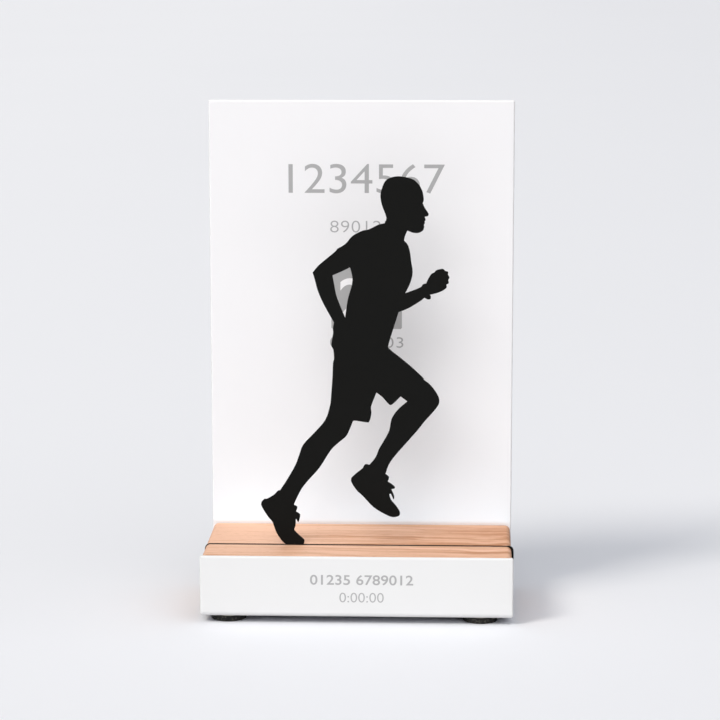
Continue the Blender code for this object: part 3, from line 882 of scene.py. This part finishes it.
def ambient(strength, seen):
    """Sky light that fades out near the floor; the camera sees the floor's own pale tone."""
    world = bpy.data.worlds.new("studio")
    bpy.context.scene.world = world
    world.use_nodes = True
    tree = world.node_tree
    background = tree.nodes["Background"]
    background.inputs["Color"].default_value = (0.94, 0.965, 1.0, 1.0)
    direction = tree.nodes.new("ShaderNodeTexCoord")
    split = tree.nodes.new("ShaderNodeSeparateXYZ")
    fade = tree.nodes.new("ShaderNodeMapRange")
    fade.inputs["From Min"].default_value = 0.30
    fade.inputs["From Max"].default_value = 0.60
    fade.inputs["To Max"].default_value = strength
    shown = tree.nodes.new("ShaderNodeBackground")
    shown.inputs["Color"].default_value = (*seen, 1.0)
    path = tree.nodes.new("ShaderNodeLightPath")
    pick = tree.nodes.new("ShaderNodeMixShader")
    tree.links.new(direction.outputs["Generated"], split.inputs["Vector"])
    tree.links.new(split.outputs["Z"], fade.inputs["Value"])
    tree.links.new(fade.outputs["Result"], background.inputs["Strength"])
    tree.links.new(path.outputs["Is Camera Ray"], pick.inputs["Fac"])
    tree.links.new(background.outputs["Background"], pick.inputs[1])
    tree.links.new(shown.outputs["Background"], pick.inputs[2])
    tree.links.new(pick.outputs["Shader"], tree.nodes["World Output"].inputs["Surface"])


def group(name, wanted):
    """A collection, for light linking, of the meshes that wanted picks by name."""
    made = bpy.data.collections.new(name)
    for item in bpy.context.scene.objects:
        if item.type == "MESH" and wanted(item.name):
            made.objects.link(item)
    return made


def wood_glow():
    """A cool light as large as the rear block's top, which evens out the wood's warm bounce."""
    low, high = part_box("rear_wood_block")
    data = bpy.data.lights.new("wood_glow", "AREA")
    data.shape = "RECTANGLE"
    data.size = high.x - low.x
    data.size_y = GLOW_DEPTH * (high.y - low.y)
    data.energy = 0.0165
    data.color = (0.34, 0.76, 1.0)
    lamp = bpy.data.objects.new("wood_glow", data)
    bpy.context.scene.collection.objects.link(lamp)
    lamp.location = (0.0, (low.y + high.y) / 2, high.z + GLOW_HEIGHT)
    lamp.rotation_euler = (math.pi, 0, 0)
    lamp.visible_camera = False
    lamp.visible_glossy = False
    return lamp


def lights():
    """The trophy and the floor have suns of their own, linked to them as receivers."""
    sheet_only = group("sheet_only", lambda name: name == "coated_sheet")
    floor_only = group("floor_only", lambda name: name == "studio_floor")
    no_floor = group("all_but_floor", lambda name: name != "studio_floor")
    no_runner = group("all_but_runner", lambda name: "runner" not in name)
    front = soft_sun("front_softbox", (-0.33, -0.793, 0.95), strength=1.50, spread=0.80)
    front.light_linking.receiver_collection = no_floor
    fill = soft_sun("high_fill", (-0.25, -0.72, 0.75), strength=2.05, spread=1.2)
    fill.light_linking.receiver_collection = no_floor
    fill.light_linking.blocker_collection = no_runner
    behind = soft_sun("rear_fill", (0.25, 1.0, 0.25), strength=0.90, spread=1.2)
    behind.light_linking.receiver_collection = no_floor
    overhead = soft_sun("overhead", (0.20, -0.40, 1.0), strength=1.72, spread=1.6)
    overhead.light_linking.receiver_collection = floor_only
    overhead.light_linking.blocker_collection = no_runner
    side = soft_sun("side_lamp", (-0.799, -0.602, 1.036), strength=1.52, spread=0.34)
    side.data.color = (1.0, 0.94, 0.84)
    side.light_linking.receiver_collection = floor_only
    wood_glow().light_linking.receiver_collection = sheet_only
    ambient(0.25, (0.855, 0.866, 0.90))


def camera():
    data = bpy.data.cameras.new("studio_camera")
    data.sensor_width = 36.0
    data.lens = CAMERA_LENS
    data.clip_start = 0.05
    data.clip_end = 60.0
    item = bpy.data.objects.new("studio_camera", data)
    bpy.context.scene.collection.objects.link(item)
    aim = (Matrix.Rotation(math.radians(CAMERA_YAW), 4, "Z")
           @ Matrix.Rotation(math.radians(90 - CAMERA_PITCH), 4, "X")
           @ Matrix.Rotation(math.radians(CAMERA_ROLL), 4, "Z"))
    item.matrix_world = Matrix.Translation(CAMERA_PLACE) @ aim
    bpy.context.scene.camera = item


# ---------------------------------------------------------------- the trophy

def trophy():
    # lip is painted shade: a darker tone on the front lip
    white = powder_coat(
        "white_powder_coat", (0.80, 0.785, 0.79), (0.77, 0.757, 0.762), 0.40, 1500.0, 0.012 * MM,
        lip=(0.715, 0.71, 0.705))
    black = powder_coat(
        "black_powder_coat", (0.0045, 0.0045, 0.004), (0.007, 0.007, 0.0065), 0.62, 1900.0,
        0.03 * MM, gloss=0.09)
    # along is painted shade on each block, darker towards +X
    rear_wood = beech("rear_beech", (0.0, 0.0, 0.0), start=0.17, along=5.6)
    front_wood = beech("front_beech", (0.31, 0.013, 0.02), start=0.12, along=1.8)
    dowel_wood = beech("dowel_beech", (0.6, 0.2, 0.1), start=0.35, along=0.0)
    grey_ink = screen_ink("grey_ink", (0.355, 0.35, 0.35))
    white_ink = screen_ink("white_ink", (0.80, 0.785, 0.79))
    felt = needle_felt("needle_felt")
    film = adhesive_film("adhesive_film")
    steel = zinc_plate("zinc_plate")

    coated_sheet(white)
    eased_copy("rear_block", "rear_wood_block", rear_wood, WOOD_ARRIS)
    eased_copy("front_block", "front_wood_block", front_wood, WOOD_ARRIS)
    eased_copy("runner", "runner_plate", black, PLATE_ARRIS)
    prints(grey_ink, white_ink)
    for seed, node in enumerate(nodes_named("felt_pad")):
        felt_pad(node, felt, film, seed)
    fasteners(steel)
    for node in nodes_named("dowel"):
        fluted_dowel(node, dowel_wood)


trophy()
floor(studio_floor("studio_floor"))
lights()
camera()
bpy.context.scene.view_settings.view_transform = "Standard"
